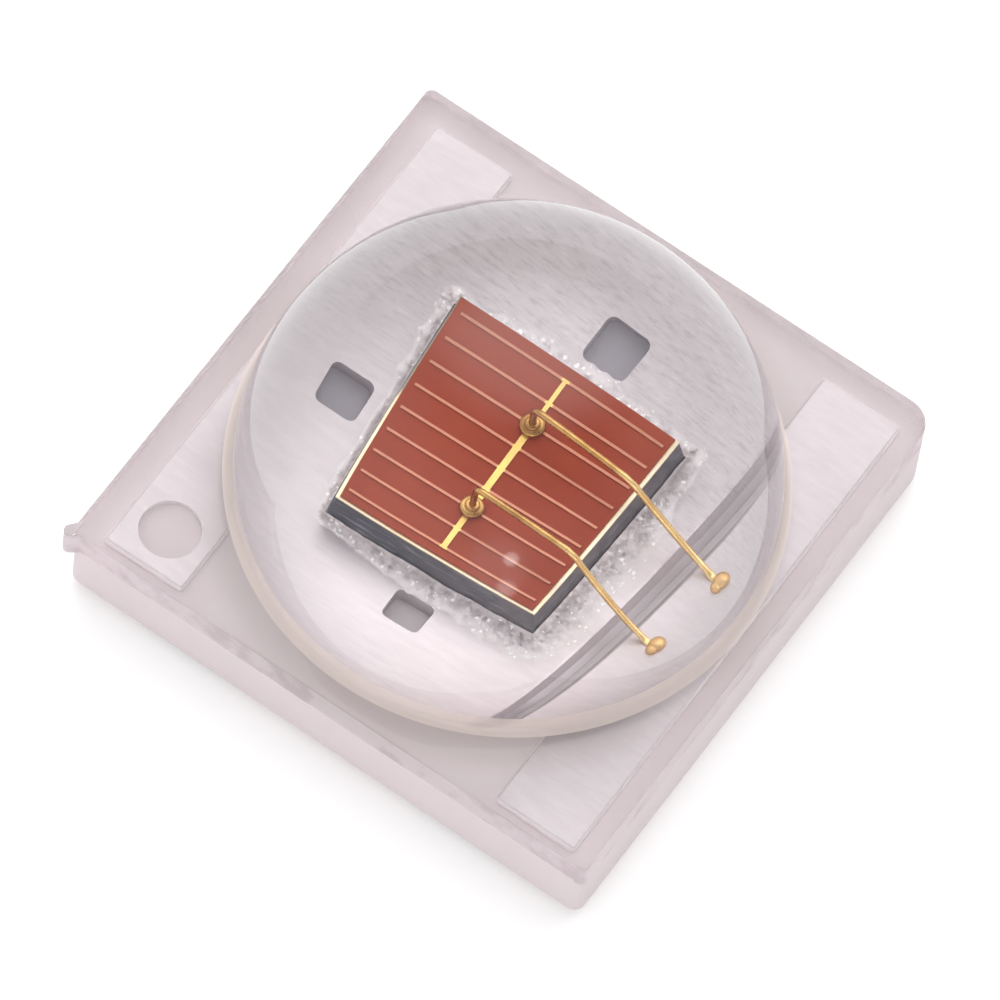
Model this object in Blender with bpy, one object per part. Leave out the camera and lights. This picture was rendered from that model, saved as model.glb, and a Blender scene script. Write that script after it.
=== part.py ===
# Surface-mount high power LED, 3.45 mm square, with a moulded silicone dome.
#
# A ceramic plate carries metal pads on both faces, joined by metal plugs. A red
# vertical chip is glued to the large top pad. Two gold wires lead from its contact
# grid to the small top pad. Clear silicone is moulded over all of it as a dome with
# a thin film that runs out to the edges of the plate.
#
# Sizes are in millimetres. The empty named millimetre_frame brings them to metres.
# X runs from the large top pad to the small one, Z is up, and the origin is the
# middle of the underside of the solder pads.

import math

import bmesh
import bpy
from mathutils import Vector

MM = 0.001

# Left between pieces that are bonded to each other, so that no two solids touch.
SEAT = 0.002
# How far a cutter runs past the face that it opens.
OVERCUT = 0.02

# Ceramic plate
PLATE_SIDE = 3.45
PLATE_THICKNESS = 0.38
PLATE_EDGE_SOFT = 0.012
# Corner radii, seen from above with X to the right
PLATE_CORNER_FRONT_LEFT = 0.12
PLATE_CORNER_FRONT_RIGHT = 0.07
PLATE_CORNER_BACK_RIGHT = 0.16
PLATE_CORNER_BACK_LEFT = 0.045

# Metal pads on the top face
TOP_METAL_THICKNESS = 0.06
TOP_METAL_SOFT = 0.014
TOP_METAL_SHIFT_X = 0.008
TOP_METAL_SHIFT_Y = -0.018
TOP_METAL_LENGTH = 3.212
TOP_METAL_WIDTH = 3.162
TAB_WIDTH = 0.528
TAB_CORNER = 0.025
DISC_RADIUS = 1.45
GAP_WIDTH = 0.11
GAP_CENTRE_X = 0.70
# The etched sides of the gap are hollow slopes: their reach at the floor, and the
# share of the metal's height at which that same share of the reach is left
GAP_FLANK = 0.04
GAP_FLANK_HOLLOW = 0.35
POLARITY_HOLE_RADIUS = 0.178
WINDOW_SIDE = 0.166
WINDOW_CORNER = 0.028
WINDOW_REACH = 0.637

# Solder pads on the underside
SOLDER_PAD_THICKNESS = 0.05
SOLDER_PAD_LENGTH = 3.26
ELECTRODE_PAD_WIDTH = 0.50
THERMAL_PAD_WIDTH = 1.30
ELECTRODE_PAD_SPREAD = 1.40
SOLDER_PAD_CORNER = 0.05
SOLDER_PAD_SOFT = 0.01

# Metal plugs through the plate
VIA_RADIUS = 0.075
VIA_REACH_X = 1.31
VIA_REACH_Y = 0.80

# Chip
CHIP_SIDE = 0.917
CHIP_X = -0.0126
CHIP_Y = -0.0124
CHIP_TURN_DEG = 1.52
BOND_LINE = 0.010
BACK_METAL_THICKNESS = 0.008
CARRIER_THICKNESS = 0.124
BONDING_METAL_THICKNESS = 0.007
LIGHT_LAYER_THICKNESS = 0.007
GRID_THICKNESS = 0.004
# Rim that the red layer leaves free. It sits a little askew on the chip.
RIM_FRONT = 0.012
RIM_RIGHT = 0.017
RIM_BACK = 0.003
RIM_LEFT_FRONT = 0.015
RIM_LEFT_BACK = 0.004

# Contact grid on the chip
FINGER_COUNT = 9
FINGER_SIDE_MARGIN = 0.0525
FINGER_WIDTH = 0.011
FINGER_END_MARGIN = 0.032
BUSBAR_WIDTH_FRONT = 0.023
BUSBAR_WIDTH_MIDDLE = 0.026
BUSBAR_WIDTH_BACK = 0.016
CONTACT_RADIUS = 0.045

# Silver glue under and around the chip
GLUE_HEIGHT = 0.045
GLUE_SPREAD_FRONT = 0.14
GLUE_SPREAD_RIGHT = 0.11
GLUE_SPREAD_BACK = 0.04
GLUE_SPREAD_LEFT = 0.06
GLUE_RIPPLE = 0.007
GLUE_CREST_SHARE = 0.22

# Gold wires
WIRE_DIAMETER = 0.028
BALL_SPREAD = 0.20
BALL_RADIUS = 0.0475
BALL_HEIGHT = 0.034
# Squashed ball with a collar on top: shares of the ball's radius and of its height
BALL_SHARES = ((0.8, 0.0), (1.0, 0.2), (1.0, 0.42), (0.86, 0.6), (0.62, 0.66), (0.58, 0.95))
LOOP_HEIGHT = 0.165
LOOP_BEND = 0.04
KINK_REACH = 0.485
KINK_DROP = 0.035
LANDING_SLOPE_REACH = 0.68
LANDING_SLOPE_HEIGHT = 0.095
STITCH_WIDTH = 0.05
STITCH_THICKNESS = 0.008
STITCH_TAIL = 0.02
# Share of the way down at which the wire starts to grow flat
FLATTEN_FROM = 0.72
BOND_PLACE_X = 0.892
BOND_SPREAD = 0.193
BOND_SHIFT_Y = -0.025
BUMP_RADIUS = 0.052
BUMP_HEIGHT = 0.03

# Silicone dome and film
FILM_THICKNESS = 0.20
FILM_EDGE_SOFT = 0.015
FILM_CORNER_FRONT = 0.03
FLASH_RADIUS = 0.042
DOME_RADIUS = 1.531
DOME_RISE = 0.035
DOME_FOOT = 0.045
DOME_X = 0.023
DOME_Y = -0.020

# Facets
ARC_STEPS = 5
HOLE_STEPS = 28
DISC_STEPS = 24
DOME_SIDES = 72
DOME_STEPS = 14
WIRE_SIDES = 10
DESCENT_STEPS = 9
GLUE_STEPS_PER_SIDE = 12

# Heights that follow from the sizes above
PLATE_BOTTOM = SOLDER_PAD_THICKNESS + SEAT
PLATE_TOP = PLATE_BOTTOM + PLATE_THICKNESS
METAL_BOTTOM = PLATE_TOP + SEAT
METAL_TOP = METAL_BOTTOM + TOP_METAL_THICKNESS
FILM_BOTTOM = PLATE_TOP + SEAT
FILM_TOP = PLATE_TOP + FILM_THICKNESS
GLUE_BOTTOM = METAL_TOP + SEAT
BACK_METAL_BOTTOM = GLUE_BOTTOM + BOND_LINE + SEAT
CARRIER_BOTTOM = BACK_METAL_BOTTOM + BACK_METAL_THICKNESS + SEAT
BONDING_METAL_BOTTOM = CARRIER_BOTTOM + CARRIER_THICKNESS + SEAT
LIGHT_LAYER_BOTTOM = BONDING_METAL_BOTTOM + BONDING_METAL_THICKNESS + SEAT
GRID_BOTTOM = LIGHT_LAYER_BOTTOM + LIGHT_LAYER_THICKNESS + SEAT
CHIP_TOP = GRID_BOTTOM + GRID_THICKNESS


def clear_scene():
    for obj in list(bpy.data.objects):
        bpy.data.objects.remove(obj, do_unlink=True)


def add_empty(name, parent=None):
    empty = bpy.data.objects.new(name, None)
    empty.parent = parent
    bpy.context.scene.collection.objects.link(empty)
    return empty


def make_material(name, colour, roughness, metallic=0.0, transmission=0.0, ior=1.5):
    material = bpy.data.materials.new(name)
    material.use_nodes = True
    shader = material.node_tree.nodes["Principled BSDF"]
    shader.inputs["Base Color"].default_value = (*colour, 1.0)
    shader.inputs["Roughness"].default_value = roughness
    shader.inputs["Metallic"].default_value = metallic
    shader.inputs["Transmission Weight"].default_value = transmission
    shader.inputs["IOR"].default_value = ior
    return material


def add_solid(name, bm, parent, material=None):
    """Turns the bmesh into an object, smooth except at its sharp edges."""
    bmesh.ops.recalc_face_normals(bm, faces=bm.faces)
    mesh = bpy.data.meshes.new(name)
    bm.to_mesh(mesh)
    bm.free()
    mesh.shade_smooth()
    mesh.set_sharp_from_angle(angle=math.radians(35))
    obj = bpy.data.objects.new(name, mesh)
    obj.parent = parent
    bpy.context.scene.collection.objects.link(obj)
    if material is None:
        obj.hide_render = True
        obj.display_type = "WIRE"
    else:
        mesh.materials.append(material)
    return obj


def combine(obj, other, operation="DIFFERENCE"):
    modifier = obj.modifiers.new(other.name, "BOOLEAN")
    modifier.operation = operation
    modifier.solver = "EXACT"
    modifier.object = other


# Outlines are lists of (x, y) points that run anticlockwise.


def arc(centre_x, centre_y, radius, start_deg, end_deg, steps):
    points = []
    for step in range(steps + 1):
        angle = math.radians(start_deg + (end_deg - start_deg) * step / steps)
        points.append((centre_x + radius * math.cos(angle), centre_y + radius * math.sin(angle)))
    return points


def circle(centre_x, centre_y, radius, steps=HOLE_STEPS):
    return arc(centre_x, centre_y, radius, 0, 360, steps)[:-1]


def rounded_rectangle(centre_x, centre_y, width, length, radii):
    """Radii run from front left to front right, back right and back left."""
    signs = ((-1, -1), (1, -1), (1, 1), (-1, 1))
    points = []
    for corner, ((side_x, side_y), radius) in enumerate(zip(signs, radii)):
        middle_x = centre_x + side_x * (width / 2 - radius)
        middle_y = centre_y + side_y * (length / 2 - radius)
        start = 180 + 90 * corner
        points += arc(middle_x, middle_y, radius, start, start + 90, ARC_STEPS)
    return points


def grown(outline, distance):
    """The outline moved outwards by a distance, or inwards by a negative one."""
    points = []
    count = len(outline)
    for index in range(count):
        before = Vector(outline[index - 1])
        here = Vector(outline[index])
        after = Vector(outline[(index + 1) % count])
        way_in = (here - before).normalized()
        way_out = (after - here).normalized()
        normal_in = Vector((way_in.y, -way_in.x))
        normal_out = Vector((way_out.y, -way_out.x))
        normal = (normal_in + normal_out).normalized()
        reach = distance / max(0.3, normal.dot(normal_in))
        moved = here + normal * reach
        points.append((moved.x, moved.y))
    return points


def loft(rings, closed_ends=True):
    """A skin over rings of 3D points, each with as many points as the next."""
    bm = bmesh.new()
    skins = [[bm.verts.new(point) for point in ring] for ring in rings]
    for lower, upper in zip(skins, skins[1:]):
        count = len(lower)
        for index in range(count):
            following = (index + 1) % count
            bm.faces.new((lower[index], lower[following], upper[following], upper[index]))
    if closed_ends:
        bm.faces.new(list(reversed(skins[0])))
        bm.faces.new(skins[-1])
    return bm


def at_height(outline, z):
    """The outline's points, which are pairs or 2D vectors, at one height."""
    return [(point[0], point[1], z) for point in outline]


def plate(outline, bottom, top, soft_top=0.0, soft_bottom=0.0):
    """A flat plate. Its top and bottom edges can be rounded by a quarter circle."""
    rings = []
    for turn in (90, 45, 0):
        if soft_bottom > 0:
            lean = math.radians(turn)
            inward = soft_bottom * (1 - math.cos(lean))
            rings.append(at_height(grown(outline, -inward), bottom + soft_bottom * (1 - math.sin(lean))))
    if soft_bottom == 0:
        rings.append(at_height(outline, bottom))
    if soft_top == 0:
        rings.append(at_height(outline, top))
    for turn in (0, 45, 90):
        if soft_top > 0:
            lean = math.radians(turn)
            inward = soft_top * (1 - math.cos(lean))
            rings.append(at_height(grown(outline, -inward), top - soft_top * (1 - math.sin(lean))))
    return loft(rings)


def turned(profile, centre_x, centre_y, sides):
    """A body turned round a vertical axis. The profile is (radius, z) from the bottom up."""
    rings = []
    tip_bottom = profile[0][0] == 0
    tip_top = profile[-1][0] == 0
    for radius, z in profile[int(tip_bottom):len(profile) - int(tip_top)]:
        rings.append(at_height(circle(centre_x, centre_y, radius, sides), z))
    bm = loft(rings, closed_ends=False)
    skin = list(bm.verts)
    ends = ((profile[0], skin[:sides], tip_bottom), (profile[-1], skin[-sides:], tip_top))
    for (_, z), edge, has_tip in ends:
        if has_tip:
            tip = bm.verts.new((centre_x, centre_y, z))
            for index in range(sides):
                bm.faces.new((edge[index], edge[(index + 1) % sides], tip))
        else:
            bm.faces.new(edge)
    return bm


# Ceramic plate, solder pads and plugs


def via_places():
    return [(side_x * VIA_REACH_X, side_y * VIA_REACH_Y) for side_x in (-1, 1) for side_y in (-1, 1)]


def add_ceramic_plate(parent, material):
    radii = (
        PLATE_CORNER_FRONT_LEFT,
        PLATE_CORNER_FRONT_RIGHT,
        PLATE_CORNER_BACK_RIGHT,
        PLATE_CORNER_BACK_LEFT,
    )
    outline = rounded_rectangle(0, 0, PLATE_SIDE, PLATE_SIDE, radii)
    body = plate(outline, PLATE_BOTTOM, PLATE_TOP, soft_bottom=PLATE_EDGE_SOFT)
    obj = add_solid("ceramic_substrate", body, parent, material)
    for number, (x, y) in enumerate(via_places(), 1):
        hole = plate(
            circle(x, y, VIA_RADIUS + SEAT), PLATE_BOTTOM - OVERCUT, PLATE_TOP + OVERCUT
        )
        combine(obj, add_solid(f"via_hole_{number}", hole, parent))


def add_via_plugs(parent, material):
    for number, (x, y) in enumerate(via_places(), 1):
        body = plate(circle(x, y, VIA_RADIUS), PLATE_BOTTOM, PLATE_TOP)
        add_solid(f"via_plug_{number}", body, parent, material)


def add_solder_pads(parent, material):
    pads = (
        ("solder_pad_anode", -ELECTRODE_PAD_SPREAD, ELECTRODE_PAD_WIDTH),
        ("solder_pad_thermal", 0.0, THERMAL_PAD_WIDTH),
        ("solder_pad_cathode", ELECTRODE_PAD_SPREAD, ELECTRODE_PAD_WIDTH),
    )
    for name, centre_x, width in pads:
        outline = rounded_rectangle(centre_x, 0, width, SOLDER_PAD_LENGTH, [SOLDER_PAD_CORNER] * 4)
        body = plate(outline, 0, SOLDER_PAD_THICKNESS, soft_bottom=SOLDER_PAD_SOFT)
        add_solid(name, body, parent, material)


# Top metal


def metal_edges():
    """Left, right, front and back limits of the metal on the top face."""
    left = TOP_METAL_SHIFT_X - TOP_METAL_WIDTH / 2
    right = TOP_METAL_SHIFT_X + TOP_METAL_WIDTH / 2
    front = TOP_METAL_SHIFT_Y - TOP_METAL_LENGTH / 2
    back = TOP_METAL_SHIFT_Y + TOP_METAL_LENGTH / 2
    return left, right, front, back


def disc_arc(from_x, to_x, side_y):
    """The stretch of the disc's edge between two X places, in front (-1) or behind (+1)."""
    start = math.degrees(math.acos((from_x - TOP_METAL_SHIFT_X) / DISC_RADIUS))
    end = math.degrees(math.acos((to_x - TOP_METAL_SHIFT_X) / DISC_RADIUS))
    return arc(
        TOP_METAL_SHIFT_X, TOP_METAL_SHIFT_Y, DISC_RADIUS, side_y * start, side_y * end, DISC_STEPS
    )


def chip_pad_outline(flank=0.0):
    """The large pad's outline. The flank moves its edge into the gap."""
    left, _, front, back = metal_edges()
    inner = left + TAB_WIDTH
    gap = GAP_CENTRE_X - GAP_WIDTH / 2 + flank
    soft = TAB_CORNER
    points = arc(left + soft, front + soft, soft, 180, 270, ARC_STEPS)
    points += arc(inner - soft, front + soft, soft, 270, 360, ARC_STEPS)
    points += disc_arc(inner, gap, -1)
    points += disc_arc(gap, inner, 1)
    points += arc(inner - soft, back - soft, soft, 0, 90, ARC_STEPS)
    points += arc(left + soft, back - soft, soft, 90, 180, ARC_STEPS)
    return points


def wire_pad_outline(flank=0.0):
    """The small pad's outline. The flank moves its edge into the gap."""
    _, right, front, back = metal_edges()
    inner = right - TAB_WIDTH
    gap = GAP_CENTRE_X + GAP_WIDTH / 2 - flank
    soft = TAB_CORNER
    points = disc_arc(gap, inner, -1)
    points += arc(inner + soft, front + soft, soft, 180, 270, ARC_STEPS)
    points += arc(right - soft, front + soft, soft, 270, 360, ARC_STEPS)
    points += arc(right - soft, back - soft, soft, 0, 90, ARC_STEPS)
    points += arc(inner + soft, back - soft, soft, 90, 180, ARC_STEPS)
    points += disc_arc(inner, gap, 1)
    return points


def pad_body(outline_with_flank, grow):
    """A pad with an etched, hollow flank at the gap and rounded top edges."""
    flank_top = METAL_TOP - TOP_METAL_SOFT
    hollow = METAL_BOTTOM + GAP_FLANK_HOLLOW * TOP_METAL_THICKNESS
    foot = METAL_BOTTOM - (OVERCUT if grow else 0)
    rings = [at_height(grown(outline_with_flank(GAP_FLANK), grow), foot)]
    rings.append(at_height(grown(outline_with_flank(GAP_FLANK * GAP_FLANK_HOLLOW), grow), hollow + grow))
    for turn in (0, 45, 90):
        lean = math.radians(turn)
        inward = TOP_METAL_SOFT * (1 - math.cos(lean))
        height = flank_top + TOP_METAL_SOFT * math.sin(lean) + grow
        rings.append(at_height(grown(outline_with_flank(), grow - inward), height))
    return loft(rings)


def window_places():
    return [
        (TOP_METAL_SHIFT_X - WINDOW_REACH, TOP_METAL_SHIFT_Y),
        (TOP_METAL_SHIFT_X, TOP_METAL_SHIFT_Y - WINDOW_REACH),
        (TOP_METAL_SHIFT_X, TOP_METAL_SHIFT_Y + WINDOW_REACH),
    ]


def polarity_hole_place():
    left, _, front, _ = metal_edges()
    return left + TAB_WIDTH / 2, front + TAB_WIDTH / 2


def add_chip_pad(name, parent, material=None, grow=0.0):
    obj = add_solid(name, pad_body(chip_pad_outline, grow), parent, material)
    low = METAL_BOTTOM - 2 * OVERCUT
    high = METAL_TOP + 2 * OVERCUT
    for number, (x, y) in enumerate(window_places(), 1):
        outline = rounded_rectangle(x, y, WINDOW_SIDE, WINDOW_SIDE, [WINDOW_CORNER] * 4)
        window = plate(grown(outline, -grow), low, high)
        combine(obj, add_solid(f"{name}_window_{number}", window, parent))
    x, y = polarity_hole_place()
    hole = plate(circle(x, y, POLARITY_HOLE_RADIUS - grow), low, high)
    combine(obj, add_solid(f"{name}_polarity_hole", hole, parent))
    return obj


def add_wire_pad(name, parent, material=None, grow=0.0):
    return add_solid(name, pad_body(wire_pad_outline, grow), parent, material)


# Chip


def chip_square(side):
    return [(-side / 2, -side / 2), (side / 2, -side / 2), (side / 2, side / 2), (-side / 2, side / 2)]


def light_layer_outline():
    half = CHIP_SIDE / 2
    return [
        (-half + RIM_LEFT_FRONT, -half + RIM_FRONT),
        (half - RIM_RIGHT, -half + RIM_FRONT),
        (half - RIM_RIGHT, half - RIM_BACK),
        (-half + RIM_LEFT_BACK, half - RIM_BACK),
    ]


def add_chip_layers(parent, materials):
    square = chip_square(CHIP_SIDE)
    layers = (
        ("chip_back_metal", square, BACK_METAL_BOTTOM, BACK_METAL_THICKNESS),
        ("chip_carrier", square, CARRIER_BOTTOM, CARRIER_THICKNESS),
        ("chip_bonding_metal", square, BONDING_METAL_BOTTOM, BONDING_METAL_THICKNESS),
        ("chip_light_layer", light_layer_outline(), LIGHT_LAYER_BOTTOM, LIGHT_LAYER_THICKNESS),
    )
    for name, outline, bottom, thickness in layers:
        add_solid(name, plate(outline, bottom, bottom + thickness), parent, materials[name])


def busbar_half_width(y):
    """Widest between the two balls, and narrow behind them."""
    if y > BALL_SPREAD:
        return BUSBAR_WIDTH_BACK / 2
    if y < -BALL_SPREAD:
        return BUSBAR_WIDTH_FRONT / 2
    return BUSBAR_WIDTH_MIDDLE / 2


def contact_comb():
    """The busbar with its fingers: up one side of the bar and down the other."""
    tip = CHIP_SIDE / 2 - FINGER_END_MARGIN
    half = FINGER_WIDTH / 2
    first = FINGER_SIDE_MARGIN - CHIP_SIDE / 2
    pitch = -2 * first / (FINGER_COUNT - 1)
    right = []
    for number in range(FINGER_COUNT):
        y = first + number * pitch
        bar_below = busbar_half_width(y - pitch / 2)
        bar_above = busbar_half_width(y + pitch / 2)
        right += [(bar_below, y - half), (tip, y - half), (tip, y + half), (bar_above, y + half)]
    left = [(-x, y) for x, y in reversed(right)]
    return right + left


def add_contact_grid(parent, material):
    comb = plate(contact_comb(), GRID_BOTTOM, CHIP_TOP)
    obj = add_solid("chip_contact_grid", comb, parent, material)
    for number, side in enumerate((1, -1), 1):
        spot = plate(circle(0, side * BALL_SPREAD, CONTACT_RADIUS), GRID_BOTTOM, CHIP_TOP)
        combine(obj, add_solid(f"contact_spot_{number}", spot, parent), "UNION")


def glue_outlines(grow):
    """The fillet's outer edge, its crest and the chip's wall, each as a list of points."""
    wall_reach = CHIP_SIDE / 2 + SEAT
    spreads = (GLUE_SPREAD_FRONT, GLUE_SPREAD_RIGHT, GLUE_SPREAD_BACK, GLUE_SPREAD_LEFT)
    outer, crest, wall = [], [], []
    for side, side_spread in enumerate(spreads):
        out_deg = -90 + 90 * side
        out = Vector((math.cos(math.radians(out_deg)), math.sin(math.radians(out_deg))))
        along = Vector((-out.y, out.x))
        for step in range(GLUE_STEPS_PER_SIDE):
            travel = 2 * step / GLUE_STEPS_PER_SIDE - 1
            neighbour = spreads[(side + 1) % 4] if travel > 0 else spreads[side - 1]
            corner_spread = min(side_spread, neighbour)
            spread = side_spread + (corner_spread - side_spread) * travel ** 2
            spread += GLUE_RIPPLE * (math.sin(5 * travel + 2.1 * side) + math.sin(11 * travel - side))
            foot = (out + along * travel) * wall_reach
            lean = out if step else (out - along).normalized()
            outer.append(foot + lean * (spread + grow))
            crest.append(foot + lean * (spread * GLUE_CREST_SHARE + grow))
            wall.append(foot)
    return outer, crest, wall


def add_glue(name, parent, material=None, grow=0.0):
    """A dish of glue: a thin floor under the chip and a rough fillet round its sides."""
    outer, crest, wall = glue_outlines(grow)
    halfway = [(edge + top) / 2 for edge, top in zip(outer, crest)]
    foot = GLUE_BOTTOM - (OVERCUT if grow else 0)
    rings = [at_height(outer, foot)]
    for ring, share in ((outer, 0.12), (halfway, 0.55), (crest, 1.0)):
        rings.append(at_height(ring, GLUE_BOTTOM + share * GLUE_HEIGHT + grow))
    if not grow:
        rings.append(at_height(wall, GLUE_BOTTOM + GLUE_HEIGHT))
        rings.append(at_height(wall, GLUE_BOTTOM + BOND_LINE))
    return add_solid(name, loft(rings), parent, material)


# Wires. A route lies in an upright plane: reach is measured along it from the ball.


def bond_ends(side):
    """Plan places of the ball and of the far bond of one wire."""
    turn = math.radians(CHIP_TURN_DEG)
    ball = Vector((
        CHIP_X - side * BALL_SPREAD * math.sin(turn),
        CHIP_Y + side * BALL_SPREAD * math.cos(turn),
    ))
    far_bond = Vector((BOND_PLACE_X, BOND_SHIFT_Y + side * BOND_SPREAD))
    return ball, far_bond


def ball_stations():
    floor = CHIP_TOP + SEAT
    stations = []
    for share_radius, share_height in BALL_SHARES:
        size = BALL_RADIUS * share_radius
        stations.append((0.0, floor + BALL_HEIGHT * share_height, size, size))
    return stations


def loop_stations(loop_top):
    """Straight up from the ball, round the bend and nearly level to the kink."""
    radius = WIRE_DIAMETER / 2
    bend_foot = loop_top - LOOP_BEND
    neck_foot = CHIP_TOP + SEAT + BALL_HEIGHT * 1.15
    stations = [(0.0, neck_foot, radius, radius), (0.0, (neck_foot + bend_foot) / 2, radius, radius)]
    for step in range(ARC_STEPS + 1):
        angle = math.pi / 2 * step / ARC_STEPS
        reach = LOOP_BEND * (1 - math.cos(angle))
        stations.append((reach, bend_foot + LOOP_BEND * math.sin(angle), radius, radius))
    for share in (0.35, 0.7):
        reach = LOOP_BEND + share * (KINK_REACH - LOOP_BEND)
        stations.append((reach, loop_top - KINK_DROP * share ** 2 / 2, radius, radius))
    return stations


def landing_stations(kink_height, landing):
    """Down a hollow curve from the kink to the pad, growing flatter near its end."""
    radius = WIRE_DIAMETER / 2
    pad_level = METAL_TOP + SEAT + STITCH_THICKNESS / 2
    slope_height = METAL_TOP + LANDING_SLOPE_HEIGHT
    stations = []
    for step in range(DESCENT_STEPS):
        t = step / DESCENT_STEPS
        start, middle, end = (1 - t) ** 2, 2 * t * (1 - t), t * t
        reach = start * KINK_REACH + middle * LANDING_SLOPE_REACH + end * landing
        z = start * kink_height + middle * slope_height + end * pad_level
        squash = max(0.0, (t - FLATTEN_FROM) / (1 - FLATTEN_FROM))
        width = radius + squash * (STITCH_WIDTH / 2 - radius)
        thick = radius + squash * (STITCH_THICKNESS / 2 - radius)
        stations.append((reach, max(z, METAL_TOP + SEAT + thick), width, thick))
    return stations


def stitch_stations(landing, span):
    """The flattened end, which runs under the bump and a little past its middle."""
    pad_level = METAL_TOP + SEAT + STITCH_THICKNESS / 2
    length = span + STITCH_TAIL - landing
    stations = []
    for share, wide in ((0.0, 0.9), (0.4, 1.0), (0.8, 0.8), (1.0, 0.4)):
        stations.append((landing + share * length, pad_level, STITCH_WIDTH / 2 * wide, STITCH_THICKNESS / 2))
    return stations


def wire_stations(span):
    """(reach, z, half width, half thickness) from the ball's foot to the stitch's end."""
    loop_top = CHIP_TOP + LOOP_HEIGHT
    landing = span - BUMP_RADIUS - SEAT
    stations = ball_stations() + loop_stations(loop_top)
    stations += landing_stations(loop_top - KINK_DROP, landing)
    return stations + stitch_stations(landing, span)


def add_bond_wire(name, side, parent, material=None, grow=0.0):
    ball, far_bond = bond_ends(side)
    way = (far_bond - ball).normalized()
    across = Vector((-way.y, way.x, 0))
    along = Vector((way.x, way.y, 0))
    stations = wire_stations((far_bond - ball).length)
    rings = []
    for index, (reach, z, width, thick) in enumerate(stations):
        before = stations[max(0, index - 1)]
        after = stations[min(len(stations) - 1, index + 1)]
        run, rise = after[0] - before[0], after[1] - before[1]
        normal = (along * -rise + Vector((0, 0, run))).normalized()
        centre = Vector((ball.x, ball.y, z)) + along * reach
        ring = []
        for corner in range(WIRE_SIDES):
            angle = 2 * math.pi * corner / WIRE_SIDES
            offset = across * (width + grow) * math.cos(angle) + normal * (thick + grow) * math.sin(angle)
            ring.append(centre + offset)
        rings.append(ring)
    if grow:
        rings.insert(0, [point - Vector((0, 0, grow)) for point in rings[0]])
        rings.append([point + along * grow for point in rings[-1]])
    return add_solid(name, loft(rings), parent, material)


def add_stitch_bump(name, side, parent, material=None, grow=0.0):
    _, far_bond = bond_ends(side)
    floor = METAL_TOP + SEAT + STITCH_THICKNESS + SEAT
    foot = floor - (STITCH_THICKNESS + OVERCUT if grow else 0)
    profile = [(BUMP_RADIUS * 0.8 + grow, foot)]
    for share_radius, share_height in ((1.0, 0.25), (1.0, 0.5), (0.8, 0.8), (0.35, 1.0)):
        profile.append((BUMP_RADIUS * share_radius + grow, floor + BUMP_HEIGHT * share_height + grow))
    return add_solid(name, turned(profile, far_bond.x, far_bond.y, 2 * WIRE_SIDES), parent, material)


# Silicone


def film_outline():
    radii = (FILM_CORNER_FRONT, FILM_CORNER_FRONT, PLATE_CORNER_BACK_RIGHT, PLATE_CORNER_BACK_LEFT)
    outline = rounded_rectangle(0, 0, PLATE_SIDE, PLATE_SIDE, radii)
    corner = -PLATE_SIDE / 2
    flash = arc(corner, corner, FLASH_RADIUS, 90, 360, 2 * ARC_STEPS)
    return flash + outline[ARC_STEPS + 1:]


def dome_profile():
    """From the axis inside the film, out over the foot fillet and up to the top."""
    middle = FILM_TOP + DOME_RISE
    foot_centre = FILM_TOP + DOME_FOOT
    reach = math.sqrt((DOME_RADIUS + DOME_FOOT) ** 2 - (foot_centre - middle) ** 2)
    meeting = math.degrees(math.atan2(foot_centre - middle, reach))
    profile = [(0.0, FILM_TOP - OVERCUT), (reach, FILM_TOP - OVERCUT)]
    for x, z in arc(reach, foot_centre, DOME_FOOT, 270, 180 + meeting, ARC_STEPS):
        profile.append((x, z))
    for x, z in arc(0, middle, DOME_RADIUS, meeting, 90, DOME_STEPS)[1:-1]:
        profile.append((x, z))
    profile.append((0.0, middle + DOME_RADIUS))
    return profile


def add_lens(parent, chip_frame, material):
    film = plate(film_outline(), FILM_BOTTOM, FILM_TOP, soft_top=FILM_EDGE_SOFT)
    obj = add_solid("silicone_lens", film, parent, material)
    dome = turned(dome_profile(), DOME_X, DOME_Y, DOME_SIDES)
    combine(obj, add_solid("dome", dome, parent), "UNION")
    combine(obj, add_chip_pad("chip_pad_pocket", parent, grow=SEAT))
    combine(obj, add_wire_pad("wire_pad_pocket", parent, grow=SEAT))
    combine(obj, add_glue("glue_pocket", chip_frame, grow=SEAT))
    chip = plate(chip_square(CHIP_SIDE + 2 * SEAT), METAL_TOP - OVERCUT, CHIP_TOP + SEAT)
    combine(obj, add_solid("chip_pocket", chip, chip_frame))
    for number, side in enumerate((1, -1), 1):
        combine(obj, add_bond_wire(f"wire_pocket_{number}", side, parent, grow=SEAT))
        combine(obj, add_stitch_bump(f"bump_pocket_{number}", side, parent, grow=SEAT))


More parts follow.
